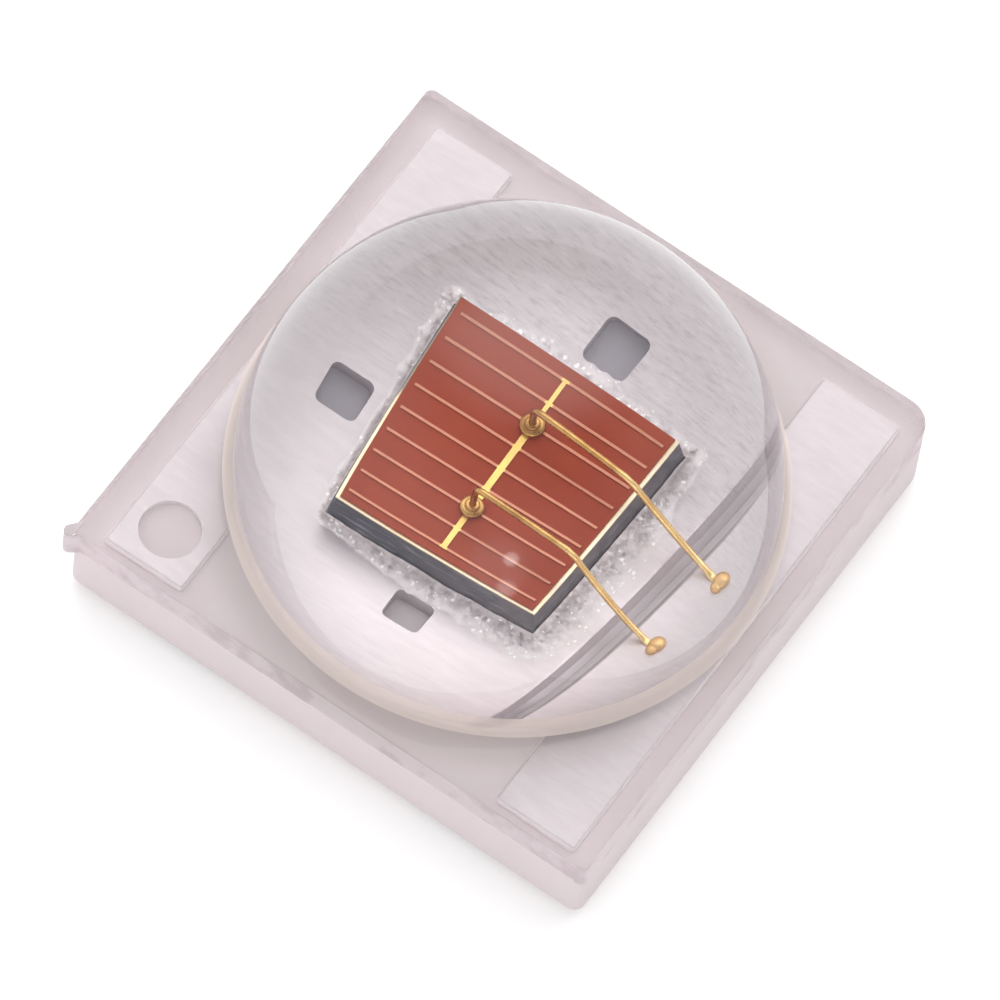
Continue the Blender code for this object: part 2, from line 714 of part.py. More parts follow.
def build():
    clear_scene()
    frame = add_empty("millimetre_frame")
    frame.scale = (MM, MM, MM)
    chip_frame = add_empty("chip_frame", frame)
    chip_frame.location = (CHIP_X, CHIP_Y, 0)
    chip_frame.rotation_euler = (0, 0, math.radians(CHIP_TURN_DEG))

    ceramic = make_material("white_ceramic", (0.72, 0.67, 0.70), 0.55)
    silver = make_material("silver_plated_copper", (0.80, 0.78, 0.77), 0.35, metallic=1.0)
    solder_face = make_material("gold_flashed_pad", (0.83, 0.66, 0.37), 0.3, metallic=1.0)
    copper = make_material("copper_plug", (0.72, 0.43, 0.30), 0.4, metallic=1.0)
    glue = make_material("silver_glue", (0.42, 0.41, 0.42), 0.5, metallic=0.6)
    gold = make_material("gold_wire", (0.90, 0.62, 0.20), 0.25, metallic=1.0)
    silicone = make_material("clear_silicone", (1.0, 1.0, 1.0), 0.02, transmission=1.0, ior=1.53)
    chip_materials = {
        "chip_back_metal": make_material("chip_back_gold", (0.85, 0.64, 0.30), 0.3, metallic=1.0),
        "chip_carrier": make_material("chip_carrier_slate", (0.045, 0.048, 0.07), 0.4),
        "chip_bonding_metal": make_material("pale_gold_rim", (0.95, 0.86, 0.52), 0.3, metallic=1.0),
        "chip_light_layer": make_material("brick_red_layer", (0.36, 0.06, 0.04), 0.25),
    }

    add_solder_pads(frame, solder_face)
    add_ceramic_plate(frame, ceramic)
    add_via_plugs(frame, copper)
    add_chip_pad("chip_pad_metal", frame, silver)
    add_wire_pad("wire_pad_metal", frame, silver)
    add_glue("die_attach_glue", chip_frame, glue)
    add_chip_layers(chip_frame, chip_materials)
    add_contact_grid(chip_frame, gold)
    for number, side in enumerate((1, -1), 1):
        add_bond_wire(f"bond_wire_{number}", side, frame, gold)
        add_stitch_bump(f"stitch_bump_{number}", side, frame, gold)
    add_lens(frame, chip_frame, silicone)


build()
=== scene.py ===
import math

import bmesh
import bpy
from mathutils import Matrix, Vector, noise


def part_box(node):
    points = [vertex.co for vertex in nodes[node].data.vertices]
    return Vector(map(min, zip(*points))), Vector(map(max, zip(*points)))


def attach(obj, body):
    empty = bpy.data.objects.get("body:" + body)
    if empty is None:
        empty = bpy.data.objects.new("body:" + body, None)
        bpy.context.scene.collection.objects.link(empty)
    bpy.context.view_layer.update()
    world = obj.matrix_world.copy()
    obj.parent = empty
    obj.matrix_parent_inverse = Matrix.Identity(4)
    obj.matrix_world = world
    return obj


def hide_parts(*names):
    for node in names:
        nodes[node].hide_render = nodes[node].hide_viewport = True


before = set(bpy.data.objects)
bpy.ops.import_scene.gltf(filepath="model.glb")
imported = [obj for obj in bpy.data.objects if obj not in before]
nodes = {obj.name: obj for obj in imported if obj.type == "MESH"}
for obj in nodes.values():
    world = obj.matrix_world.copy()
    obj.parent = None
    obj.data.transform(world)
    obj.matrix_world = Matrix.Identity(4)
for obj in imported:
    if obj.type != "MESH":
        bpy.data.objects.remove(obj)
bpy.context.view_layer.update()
mm = 0.001
# lowest and highest corner of each node, in millimetres
boxes = {name: [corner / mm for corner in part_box(name)] for name in nodes}


def srgb(red, green, blue):
    # 0 to 255 as read on a screen, to the linear value that a shader takes
    def linear(value):
        value /= 255
        return value / 12.92 if value <= 0.04045 else ((value + 0.055) / 1.055) ** 2.4
    return (linear(red), linear(green), linear(blue), 1.0)


def directionOf(azimuth, elevation):
    # unit vector, from degrees
    azimuth, elevation = math.radians(azimuth), math.radians(elevation)
    return Vector((
        math.cos(azimuth) * math.cos(elevation),
        math.sin(azimuth) * math.cos(elevation),
        math.sin(elevation),
    ))


# Camera: the viewing angle of the reference, aimed at the plate's underside
view = {
    "azimuth": -63.15,      # degrees
    "elevation": 63.85,
    "roll": 8.904,
    "distance": 67.42,      # mm
    "lens": 435.5,
    "aimRight": 0.0047,     # mm, slides the picture without a lens shift
    "aimUp": 0.1033,
}


def addCamera():
    back = directionOf(view["azimuth"], view["elevation"])
    roll = math.radians(view["roll"])
    level = Vector((0, 0, 1)).cross(back).normalized()
    rise = back.cross(level)
    right = level * math.cos(roll) + rise * math.sin(roll)
    up = rise * math.cos(roll) - level * math.sin(roll)
    data = bpy.data.cameras.new("camera")
    data.lens = view["lens"]
    data.clip_start = 0.001
    data.clip_end = 10
    camera = bpy.data.objects.new("camera", data)
    bpy.context.scene.collection.objects.link(camera)
    aim = Vector((0, 0, boxes["ceramic_substrate"][0].z))
    place = (aim + back * view["distance"] + right * view["aimRight"] + up * view["aimUp"]) * mm
    camera.matrix_world = Matrix.Translation(place) @ Matrix((right, up, back)).transposed().to_4x4()
    bpy.context.scene.camera = camera


# Studio: a white floor under an even sky, greyer overhead, with a large soft patch of light
# high behind the part, small ones in front, a dim one on the right and a warm dark one low behind
studio = {
    "floorSide": 400,       # mm
    "floorColour": srgb(240, 240, 241),
    "floorGlow": 0.25,
    "skyZenith": 0.50,
    "skyHorizon": 1.08,
    "skyTurn": 0.55,        # sine of the elevation at which the sky starts to turn grey
    # azimuth, elevation and half width in degrees, and strength in red, green and blue
    "patches": (
        (112, 57, 44, (1.62, 1.62, 1.62)),
        (5, 25, 55, (-0.35, -0.35, -0.35)),
        (126, 14, 44, (-0.42, -0.51, -0.55)),
        (-62, 25, 16, (0.7, 0.7, 0.7)),
        (-56, 29, 4, (5.0, 5.0, 5.0)),
        (-57, 16, 5, (3.0, 3.0, 3.0)),
    ),
}


def newMaterial(name):
    material = bpy.data.materials.new(name)
    material.use_nodes = True
    tree = material.node_tree
    return material, tree, tree.nodes["Principled BSDF"]


# Node helpers, where a value is a number, a tuple or another node's output
def plug(tree, value, socket):
    if isinstance(value, bpy.types.NodeSocket):
        tree.links.new(value, socket)
    else:
        socket.default_value = value


def addRange(tree, value, low, high, toLow=0.0, toHigh=1.0, smooth=False):
    node = tree.nodes.new("ShaderNodeMapRange")
    if smooth:
        node.interpolation_type = "SMOOTHSTEP"
    labels = ("Value", "From Min", "From Max", "To Min", "To Max")
    for label, given in zip(labels, (value, low, high, toLow, toHigh)):
        plug(tree, given, node.inputs[label])
    return node.outputs["Result"]


def addFade(tree, value, span, toLow=0.0, toHigh=1.0):
    # from one value to another between two places, which are in mm
    return addRange(tree, value, span[0] * mm, span[1] * mm, toLow, toHigh)


def addMix(tree, factor, first, second):
    node = tree.nodes.new("ShaderNodeMix")
    node.data_type = "RGBA"
    # this kind of mix has its factor first and its two colours as the 7th and 8th inputs
    for index, value in ((0, factor), (6, first), (7, second)):
        plug(tree, value, node.inputs[index])
    return node.outputs[2]


def addMath(tree, operation, first, second=0.0):
    node = tree.nodes.new("ShaderNodeMath")
    node.operation = operation
    plug(tree, first, node.inputs[0])
    plug(tree, second, node.inputs[1])
    return node.outputs[0]


def addVector(tree, operation, first, second, label=1):
    node = tree.nodes.new("ShaderNodeVectorMath")
    node.operation = operation
    plug(tree, first, node.inputs[0])
    plug(tree, second, node.inputs[label])
    return node.outputs["Value" if operation in ("DOT_PRODUCT", "DISTANCE") else "Vector"]


def splitPlace(tree, place):
    node = tree.nodes.new("ShaderNodeSeparateXYZ")
    tree.links.new(place, node.inputs[0])
    return node.outputs


def setInputs(tree, node, **values):
    # an underscore stands for a space in the input's label
    for label, value in values.items():
        plug(tree, value, node.inputs[label.replace("_", " ")])


def addFloor():
    side = studio["floorSide"] * mm / 2
    bm = bmesh.new()
    bmesh.ops.create_grid(bm, x_segments=8, y_segments=8, size=side)
    mesh = bpy.data.meshes.new("floor")
    bm.to_mesh(mesh)
    bm.free()
    floor = bpy.data.objects.new("floor", mesh)
    bpy.context.scene.collection.objects.link(floor)
    material, tree, shader = newMaterial("whitePaper")
    setInputs(tree, shader, Base_Color=studio["floorColour"], Roughness=0.9, Specular_IOR_Level=0.1)
    # a little glow, for the rays that see the floor and not for those that light the part
    path = tree.nodes.new("ShaderNodeLightPath")
    seen = joinRays(tree, path, ("Is Camera Ray", "Is Glossy Ray", "Is Transmission Ray"))
    glow = addMath(tree, "MULTIPLY", seen, studio["floorGlow"])
    setInputs(tree, shader, Emission_Color=(1, 1, 1, 1), Emission_Strength=glow)
    mesh.materials.append(material)


def joinRays(tree, path, kinds):
    # 1 for a ray of any of these kinds
    joined = path.outputs[kinds[0]]
    for kind in kinds[1:]:
        joined = addMath(tree, "MAXIMUM", joined, path.outputs[kind])
    return joined


def addSky():
    world = bpy.data.worlds.new("softSky")
    bpy.context.scene.world = world
    world.use_nodes = True
    tree = world.node_tree
    way = tree.nodes.new("ShaderNodeTexCoord").outputs["Generated"]
    ends = (studio["skyHorizon"], studio["skyZenith"])
    light = addRange(tree, splitPlace(tree, way)["Z"], studio["skyTurn"], 1.0, *ends, smooth=True)
    colour = addVector(tree, "SCALE", (1, 1, 1), light, "Scale")
    for azimuth, elevation, halfWidth, strength in studio["patches"]:
        near = addVector(tree, "DOT_PRODUCT", way, directionOf(azimuth, elevation))
        patch = addRange(tree, near, math.cos(math.radians(halfWidth)), 1.0, smooth=True)
        colour = addVector(tree, "ADD", colour, addVector(tree, "SCALE", strength, patch, "Scale"))
    tree.links.new(colour, tree.nodes["Background"].inputs["Color"])


addCamera()
addFloor()
addSky()
print("studio is up")


# Shared surface effects, as node groups. They read the place on the part in millimetres.
def newGroup(name, inputs, outputs, outputKind="NodeSocketFloat"):
    group = bpy.data.node_groups.new(name, "ShaderNodeTree")
    for label, default in inputs.items():
        socket = group.interface.new_socket(name=label, in_out="INPUT", socket_type="NodeSocketFloat")
        socket.default_value = default
    for label in outputs:
        group.interface.new_socket(name=label, in_out="OUTPUT", socket_type=outputKind)
    entry = group.nodes.new("NodeGroupInput")
    leave = group.nodes.new("NodeGroupOutput")
    return group, entry.outputs, leave


def addMapping(tree, **values):
    # the place on the part, in metres, moved, turned or scaled
    node = tree.nodes.new("ShaderNodeMapping")
    coordinates = tree.nodes.new("ShaderNodeTexCoord")
    setInputs(tree, node, Vector=coordinates.outputs["Object"], **values)
    return node


def millimetrePlace(tree, stretch=(1, 1, 1)):
    return addMapping(tree, Scale=[part / mm for part in stretch]).outputs["Vector"]


def addNoise(tree, place, scale, detail=3.0, roughness=0.55):
    node = tree.nodes.new("ShaderNodeTexNoise")
    setInputs(tree, node, Vector=place, Scale=scale, Detail=detail, Roughness=roughness)
    return node.outputs["Fac"]


def addCells(tree, scale):
    node = tree.nodes.new("ShaderNodeTexVoronoi")
    setInputs(tree, node, Vector=millimetrePlace(tree), Scale=scale)
    return node.outputs


def buildGrain():
    # fine and coarse cloudy variation
    scales = {"Fine Scale": 60.0, "Coarse Scale": 4.0}
    group, entry, leave = newGroup("surfaceGrain", scales, ("Fine", "Coarse"))
    place = millimetrePlace(group)
    fine = addNoise(group, place, entry["Fine Scale"], detail=2.0)
    coarse = addNoise(group, place, entry["Coarse Scale"], detail=4.0)
    setInputs(group, leave, Fine=fine, Coarse=coarse)
    return group


def buildStreaks():
    # brushing marks and worn patches drawn out along X, and level sawing marks for upright sides
    labels = ("Streaks", "Patches", "Sawn")
    group, entry, leave = newGroup("drawnStreaks", {"Scale": 30.0}, labels)
    along = millimetrePlace(group, stretch=(0.2, 1, 1))
    wide = millimetrePlace(group, stretch=(0.35, 1, 1))
    level = millimetrePlace(group, stretch=(0.12, 0.12, 1))
    brushed = addNoise(group, along, entry["Scale"], detail=4.0, roughness=0.7)
    patches = addNoise(group, wide, 6.0)
    sawn = addNoise(group, level, entry["Scale"], roughness=0.65)
    setInputs(group, leave, Streaks=brushed, Patches=patches, Sawn=sawn)
    return group


def buildSpecks():
    # sparse specks, in a share of the cells: 1 in a speck, 0 elsewhere; used for dirt, and for the
    # glue's painted glints
    values = {"Scale": 3.0, "Size": 0.05, "Share": 1.0}
    group, entry, leave = newGroup("dirtAndGlintSpecks", values, ("Specks",))
    cells = addCells(group, entry["Scale"])
    speck = addRange(group, cells["Distance"], 0.0, entry["Size"], 1.0, 0.0)
    split = group.nodes.new("ShaderNodeSeparateColor")
    group.links.new(cells["Color"], split.inputs[0])
    chosen = addMath(group, "LESS_THAN", split.outputs[0], entry["Share"])
    setInputs(group, leave, Specks=addMath(group, "MULTIPLY", speck, chosen))
    return group


def buildFlakes():
    # small facets, each tilted its own way, for the glue's silver filler
    values = {"Scale": 60.0, "Tilt": 0.6}
    group, entry, leave = newGroup("tiltedFlakes", values, ("Normal",), "NodeSocketVector")
    cells = addCells(group, entry["Scale"])
    centred = addVector(group, "SUBTRACT", cells["Color"], (0.5, 0.5, 0.5))
    tilted = addVector(group, "SCALE", centred, entry["Tilt"], "Scale")
    surface = group.nodes.new("ShaderNodeNewGeometry")
    joined = addVector(group, "ADD", surface.outputs["Normal"], tilted)
    setInputs(group, leave, Normal=addVector(group, "NORMALIZE", joined, (0, 0, 0)))
    return group


grain = buildGrain()
streaks = buildStreaks()
specks = buildSpecks()
flakes = buildFlakes()


def useGroup(tree, group, **values):
    node = tree.nodes.new("ShaderNodeGroup")
    node.node_tree = group
    setInputs(tree, node, **values)
    return node.outputs


def addBump(tree, shader, height, distance, **values):
    # the distance is in mm
    node = tree.nodes.new("ShaderNodeBump")
    setInputs(tree, node, Height=height, Distance=distance * mm, **values)
    tree.links.new(node.outputs["Normal"], shader.inputs["Normal"])


def placeOnPart(tree):
    # its outputs X, Y and Z, in metres
    return splitPlace(tree, tree.nodes.new("ShaderNodeTexCoord").outputs["Object"])


# Ceramic plate: where its tones change, in mm
ceramic = {
    "discCentre": (0.008, -0.018),
    "discReach": 1.45,      # the metal disc's edge
    "discSoft": 0.01,
    "footReach": 1.53,      # the dome's foot
    # the painted shade round the dome's foot fades out over this
    "footFade": 0.22,
    # painted shade in front of the dome's foot: how far out it fades, where it stands and how strong
    # it is
    "footShadeFade": 0.26,      # outwards from the foot
    "footShadeY": (-0.9, -0.5),  # full in front of the first, gone behind the second
    "footShadeShare": 0.8,
    # the metal's openings behind the front window get darker painted shade
    "windowY": (-0.5, -0.3),  # between the front window's floor and the others'
    # the gap's floor gets painted light, and a painted shade line along its middle
    "gapReach": (0.1, 0.12),  # from the gap's middle to where its floor's tone ends
    "gapLine": 0.075,       # half width of the soft dark line along the gap's middle
    "sideDrop": 0.002,      # from the top to where the sides' tone starts
    "sideSoft": 0.001,
}


def planeDistance(tree, centre):
    # distance from an upright axis, in metres
    flat = addMapping(tree, Scale=(1, 1, 0)).outputs["Vector"]
    return addVector(tree, "DISTANCE", flat, (centre[0] * mm, centre[1] * mm, 0))


def footShade(tree, away, y):
    # painted shade in front of the dome's foot, fading outwards
    foot = ceramic["footReach"]
    outwards = addFade(tree, away, (foot, foot + ceramic["footShadeFade"]), 1.0, 0.0)
    backwards = addFade(tree, y, ceramic["footShadeY"], ceramic["footShadeShare"], 0.0)
    return addMath(tree, "MULTIPLY", outwards, backwards)


def makeCeramic():
    # white, greyer on its sawn sides, with painted shade in the metal's openings and under and round
    # the dome's foot
    material, tree, shader = newMaterial("firedCeramic")
    cloud = useGroup(tree, grain, Fine_Scale=45.0, Coarse_Scale=3.0)
    dirt = useGroup(tree, specks, Scale=2.2, Size=0.035)
    place = placeOnPart(tree)
    away = planeDistance(tree, ceramic["discCentre"])
    disc, foot = ceramic["discReach"], ceramic["footReach"]
    white = addMix(tree, cloud["Coarse"], srgb(252, 239, 242), srgb(255, 244, 247))
    # painted shade under and round the dome's foot, fading outwards
    pastFootShade = addFade(tree, away, (foot, foot + ceramic["footFade"]))
    colour = addMix(tree, pastFootShade, srgb(236, 224, 223), white)
    # painted shade in front of the dome's foot
    colour = addMix(tree, footShade(tree, away, place["Y"]), colour, srgb(226, 215, 216))
    # painted shade on the ceramic under the metal disc, seen in its openings, darker behind the front
    # window
    behind = addFade(tree, place["Y"], ceramic["windowY"])
    inside = addMix(tree, behind, srgb(207, 198, 202), srgb(186, 180, 190))
    # in the gap between the pads: painted light on the floor, with a soft painted shade line along its
    # middle
    gap = (boxes["chip_pad_metal"][1].x + boxes["wire_pad_metal"][0].x) / 2 * mm
    offGap = addMath(tree, "ABSOLUTE", addMath(tree, "SUBTRACT", place["X"], gap))
    beyond = addFade(tree, offGap, ceramic["gapReach"])
    inside = addMix(tree, beyond, srgb(236, 227, 230), inside)
    offLine = addFade(tree, offGap, (0.0, ceramic["gapLine"]))
    inside = addMix(tree, offLine, srgb(206, 197, 200), inside)
    colour = addMix(tree, addFade(tree, away, (disc - ceramic["discSoft"], disc)), inside, colour)
    side = boxes["ceramic_substrate"][1].z - ceramic["sideDrop"]
    upper = addFade(tree, place["Z"], (side - ceramic["sideSoft"], side))
    sides = addMix(tree, cloud["Coarse"], srgb(222, 210, 212), srgb(229, 217, 219))
    colour = addMix(tree, upper, sides, colour)
    colour = addMix(tree, dirt["Specks"], colour, srgb(150, 138, 142))
    setInputs(tree, shader, Base_Color=colour, Roughness=0.6, Specular_IOR_Level=0.3)
    addBump(tree, shader, cloud["Fine"], 0.0015)
    return material


# Top metal: where its tones change, in mm
plating = {
    # the far half, where the scratches, painted sheen and painted shade are set
    "farY": (-0.1, 0.5),    # scratches set in between these
    "discEdge": (1.4, 1.45),
    # painted shade, darkening the disc towards its far rim
    "rimShade": (0.85, 1.35),  # darker outwards between these, on the far half
    # the tabs' walls are painted lighter below these, and the disc's walls get painted shade towards
    # their foot
    "wallDrops": (0.004, 0.002),  # below the top, where the walls' tone starts
    "lowDrop": 0.003,
}


def makeTopMetal():
    # matte silver plating, faintly brushed, with short fine scratches and streaks of painted sheen on
    # the far half of the disc; painted shade towards the disc's far rim, on its walls and in front of
    # the dome's foot, and painted light on the tabs' walls
    material, tree, shader = newMaterial("brushedPlating")
    brushed = useGroup(tree, streaks, Scale=26.0)
    fine = useGroup(tree, streaks, Scale=75.0)
    tone = addRange(tree, brushed["Streaks"], 0.3, 0.7)
    colour = addMix(tree, tone, srgb(224, 214, 218), srgb(233, 224, 228))
    scratch = addRange(tree, fine["Streaks"], 0.50, 0.68, 0.0, 0.7)
    # painted sheen on some of the fine streaks
    shine = addRange(tree, fine["Streaks"], 0.30, 0.42, 0.6, 0.0)
    place = placeOnPart(tree)
    far = addFade(tree, place["Y"], plating["farY"])
    away = planeDistance(tree, ceramic["discCentre"])
    onDisc = addFade(tree, away, plating["discEdge"], 1.0, 0.0)
    offDisc = addMath(tree, "SUBTRACT", 1.0, onDisc)
    # far half of the disc: its real scratches, its painted sheen and its painted shade
    worn = addMath(tree, "MULTIPLY", far, onDisc)
    # painted shade towards the disc's far rim
    nearEdge = addFade(tree, away, plating["rimShade"])
    rim = addMath(tree, "MULTIPLY", worn, nearEdge)
    colour = addMix(tree, rim, colour, srgb(172, 160, 165))
    colour = addMix(tree, addMath(tree, "MULTIPLY", scratch, worn), colour, srgb(196, 187, 190))
    colour = addMix(tree, addMath(tree, "MULTIPLY", shine, worn), colour, srgb(246, 238, 240))
    # painted shade on the tabs in front of the dome's foot
    shade = addMath(tree, "MULTIPLY", footShade(tree, away, place["Y"]), offDisc)
    colour = addMix(tree, shade, colour, srgb(204, 194, 196))
    bottom, top = (corner.z for corner in boxes["chip_pad_metal"])
    # painted light on the tabs' walls
    wallSpan = [top - drop for drop in plating["wallDrops"]]
    wall = addMath(tree, "MULTIPLY", addFade(tree, place["Z"], wallSpan, 1.0, 0.0), offDisc)
    colour = addMix(tree, wall, colour, srgb(255, 250, 251))
    # painted shade on the disc's walls, darker towards their foot
    low = addFade(tree, place["Z"], (bottom, top - plating["lowDrop"]), 1.0, 0.0)
    colour = addMix(tree, addMath(tree, "MULTIPLY", low, onDisc), colour, srgb(198, 188, 192))
    rough = addRange(tree, brushed["Patches"], 0.3, 0.7, 0.46, 0.49)
    setInputs(tree, shader, Base_Color=colour, Metallic=0.72, Roughness=rough)
    addBump(tree, shader, brushed["Streaks"], 0.0002)
    return material


overChip = (0.36, 0.46)     # mm along X, where the wires leave the chip behind


def makeMetal(name, dark, bright, roughness, bumpHeight=0.0005, redReflection=None):
    # the optional pair holds the dark and bright tone over the chip: a painted reflection of the
    # chip's red, which the wires mirror
    material, tree, shader = newMaterial(name)
    cloud = useGroup(tree, grain, Fine_Scale=70.0, Coarse_Scale=9.0)
    tone = addRange(tree, cloud["Coarse"], 0.35, 0.65)
    colour = addMix(tree, tone, dark, bright)
    if redReflection:
        free = addFade(tree, placeOnPart(tree)["X"], overChip)
        colour = addMix(tree, free, addMix(tree, tone, *redReflection), colour)
    rough = addRange(tree, cloud["Fine"], 0.3, 0.7, roughness - 0.06, roughness + 0.08)
    setInputs(tree, shader, Base_Color=colour, Metallic=1.0, Roughness=rough)
    addBump(tree, shader, cloud["Fine"], bumpHeight)
    return material


# Chip: where it stands and how far it is turned, and where its tones change, in mm
chip = {
    "centre": (-0.0126, -0.0124),
    "turn": 1.52,           # degrees
    "halfSide": 0.4585,
    "busbarReach": 0.014,   # from the middle line
    "busbarSoft": 1.3,      # times that reach, where the fingers' tone is full
    "smearX": (-0.3, 0.46),  # the smear of glue grows between these
    "rimFarY": (0.02, 0.07),
    "rimRightX": (0.43, 0.44),
    "busbarTone": srgb(250, 218, 130),
    "fingerTone": srgb(202, 136, 112),
}


def chipPlace(x, y, z):
    # from the chip's own axes to the part's, in millimetres
    turn = math.radians(chip["turn"])
    return Vector((
        chip["centre"][0] + x * math.cos(turn) - y * math.sin(turn),
        chip["centre"][1] + x * math.sin(turn) + y * math.cos(turn),
        z,
    ))


def chipPosition(tree):
    # place from the chip's middle along its own axes, in metres
    centre = (chip["centre"][0] * mm, chip["centre"][1] * mm, 0)
    turned = addMapping(tree, Location=centre, Rotation=(0, 0, math.radians(chip["turn"])))
    turned.vector_type = "TEXTURE"
    return splitPlace(tree, turned.outputs["Vector"])


def makeGrid():
    # yellow busbar and spots, paler and pinker fingers
    material, tree, shader = newMaterial("contactGold")
    off = addMath(tree, "ABSOLUTE", chipPosition(tree)["X"])
    reach = chip["busbarReach"]
    finger = addFade(tree, off, (reach, chip["busbarSoft"] * reach))
    cloud = useGroup(tree, grain, Fine_Scale=90.0, Coarse_Scale=14.0)
    tone = addMix(tree, finger, chip["busbarTone"], chip["fingerTone"])
    worn = addRange(tree, cloud["Coarse"], 0.4, 0.75, 0.0, 0.35)
    colour = addMix(tree, worn, tone, srgb(214, 140, 100))
    setInputs(tree, shader, Base_Color=colour, Metallic=0.8, Roughness=0.45)
    addBump(tree, shader, cloud["Fine"], 0.0003)
    return material


def makeRedLayer():
    material, tree, shader = newMaterial("redLightLayer")
    cloud = useGroup(tree, grain, Fine_Scale=240.0, Coarse_Scale=2.5)
    dirt = useGroup(tree, specks, Scale=9.0, Size=0.04)
    tone = addRange(tree, cloud["Coarse"], 0.3, 0.7)
    colour = addMix(tree, tone, srgb(168, 66, 40), srgb(180, 76, 50))
    colour = addMix(tree, dirt["Specks"], colour, srgb(140, 70, 60))
    setInputs(tree, shader, Base_Color=colour, Roughness=0.45, Specular_IOR_Level=0.12)
    addBump(tree, shader, cloud["Fine"], 0.00005)
    return material


def makeSlate():
    # sawn side of the chip's carrier, with scuffs along it and a warm grey smear of glue
    # that gets stronger towards the wires' pad
    material, tree, shader = newMaterial("sawnSlate")
    sawn = useGroup(tree, streaks, Scale=60.0)
    cloud = useGroup(tree, grain, Fine_Scale=130.0, Coarse_Scale=12.0)
    scuff = addRange(tree, sawn["Sawn"], 0.52, 0.72)
    colour = addMix(tree, cloud["Coarse"], srgb(56, 58, 72), srgb(88, 88, 104))
    along = addFade(tree, chipPosition(tree)["X"], chip["smearX"])
    smear = addMath(tree, "MULTIPLY", along, addRange(tree, cloud["Coarse"], 0.3, 0.6, 0.35, 1.0))
    colour = addMix(tree, smear, colour, srgb(128, 119, 125))
    colour = addMix(tree, scuff, colour, srgb(150, 148, 160))
    setInputs(tree, shader, Base_Color=colour, Roughness=0.42)
    addBump(tree, shader, sawn["Sawn"], 0.002)
    return material


def makeRim():
    # pale gold, olive grey on the far sides
    material, tree, shader = newMaterial("paleGoldRim")
    cloud = useGroup(tree, grain, Fine_Scale=70.0, Coarse_Scale=9.0)
    tone = addRange(tree, cloud["Coarse"], 0.35, 0.65)
    gold = addMix(tree, tone, srgb(250, 228, 190), srgb(255, 243, 216))
    place = chipPosition(tree)
    far = addFade(tree, place["Y"], chip["rimFarY"])
    left = addFade(tree, place["X"], chip["rimRightX"], 1.0, 0.0)
    colour = addMix(tree, addMath(tree, "MULTIPLY", far, left), gold, srgb(158, 152, 138))
    setInputs(tree, shader, Base_Color=colour, Metallic=0.8, Roughness=0.42)
    addBump(tree, shader, cloud["Fine"], 0.0004)
    return material


def makeGlue():
    # silver-filled resin: brown grey near the chip with a painted highlight line at its very foot,
    # like the plating where it runs out, and with painted white glints in scattered specks; out goes
    # from 0 at the chip's wall to 1 at the edge
    material, tree, shader = newMaterial("silverGlue")
    cloud = useGroup(tree, grain, Fine_Scale=70.0, Coarse_Scale=24.0)
    layer = tree.nodes.new("ShaderNodeAttribute")
    layer.attribute_name = "out"
    out = layer.outputs["Fac"]
    facets = useGroup(tree, flakes, Scale=60.0, Tilt=addRange(tree, out, 0.4, 0.9, 0.55, 0.0))
    glints = useGroup(tree, specks, Scale=44.0, Size=0.62, Share=0.42)
    patchy = addRange(tree, cloud["Coarse"], 0.35, 0.65)
    near = addMix(tree, patchy, srgb(172, 161, 164), srgb(218, 208, 211))
    # painted highlight: a lighter line right at the carrier's foot
    near = addMix(tree, addRange(tree, out, 0.05, 0.16), srgb(222, 212, 215), near)
    edge = addMix(tree, cloud["Coarse"], srgb(216, 207, 210), srgb(236, 228, 231))
    colour = addMix(tree, addRange(tree, out, 0.15, 0.9), near, edge)
    # painted glints, white in the specks
    breaks = addRange(tree, cloud["Fine"], 0.35, 0.6)
    shine = addRange(tree, addMath(tree, "MULTIPLY", glints["Specks"], breaks), 0.25, 0.5)
    colour = addMix(tree, shine, colour, srgb(255, 252, 252))
    setInputs(tree, shader, Base_Color=colour, Roughness=0.36, Metallic=0.35)
    addBump(tree, shader, cloud["Fine"], 0.001, Normal=facets["Normal"])
    return material


# Clear silicone dome and film, in one skin of rings round the dome's axis, in mm
lensShape = {
    "centre": (0.023, -0.020),
    "radius": 1.531,
    "rise": 0.035,          # of the dome's middle over the film
    "foot": 0.050,          # radius of the hollow round the dome's foot
    "filmThickness": 0.20,
    "edgeSoftness": 0.006,
    "refraction": 1.53,
    # sides of the corner in X and Y, and its radius
    "cornerRadii": ((-1, -1, 0.03), (1, -1, 0.03), (1, 1, 0.16), (-1, 1, 0.045)),
    "flashRadius": 0.042,   # nib at the front left corner
    "sink": 0.01,           # how far it reaches down into the ceramic, out of sight
    "inset": 0.002,         # of the film's edge, from the plate's
    "domeSteps": 60,
    # painted light on the dome's foot: how many of the dome's steps it takes, just over the foot
    "footLightSteps": 2,         # of the dome, just over its foot
    "footSteps": 8,
    "filmShares": (0.5, 0.85),  # of the way from the foot to the film's edge
    "edgeSteps": 4,
    "sideSteps": 6,
    "turnStep": 1.5,        # degrees round the axis
    "cornerStep": 0.2,      # degrees, near the film's corners
    "cornerSteps": 18,      # on either side of a corner
    "leastStep": 0.08,      # degrees
}


def makeSilicone():
    material, tree, shader = newMaterial("clearSilicone")
    setInputs(tree, shader, Base_Color=(1, 1, 1, 1), Roughness=0.0)
    setInputs(tree, shader, IOR=lensShape["refraction"], Transmission_Weight=1.0)
    cloud = useGroup(tree, grain, Fine_Scale=55.0, Coarse_Scale=1.2)
    addBump(tree, shader, cloud["Coarse"], 0.0006)
    return material


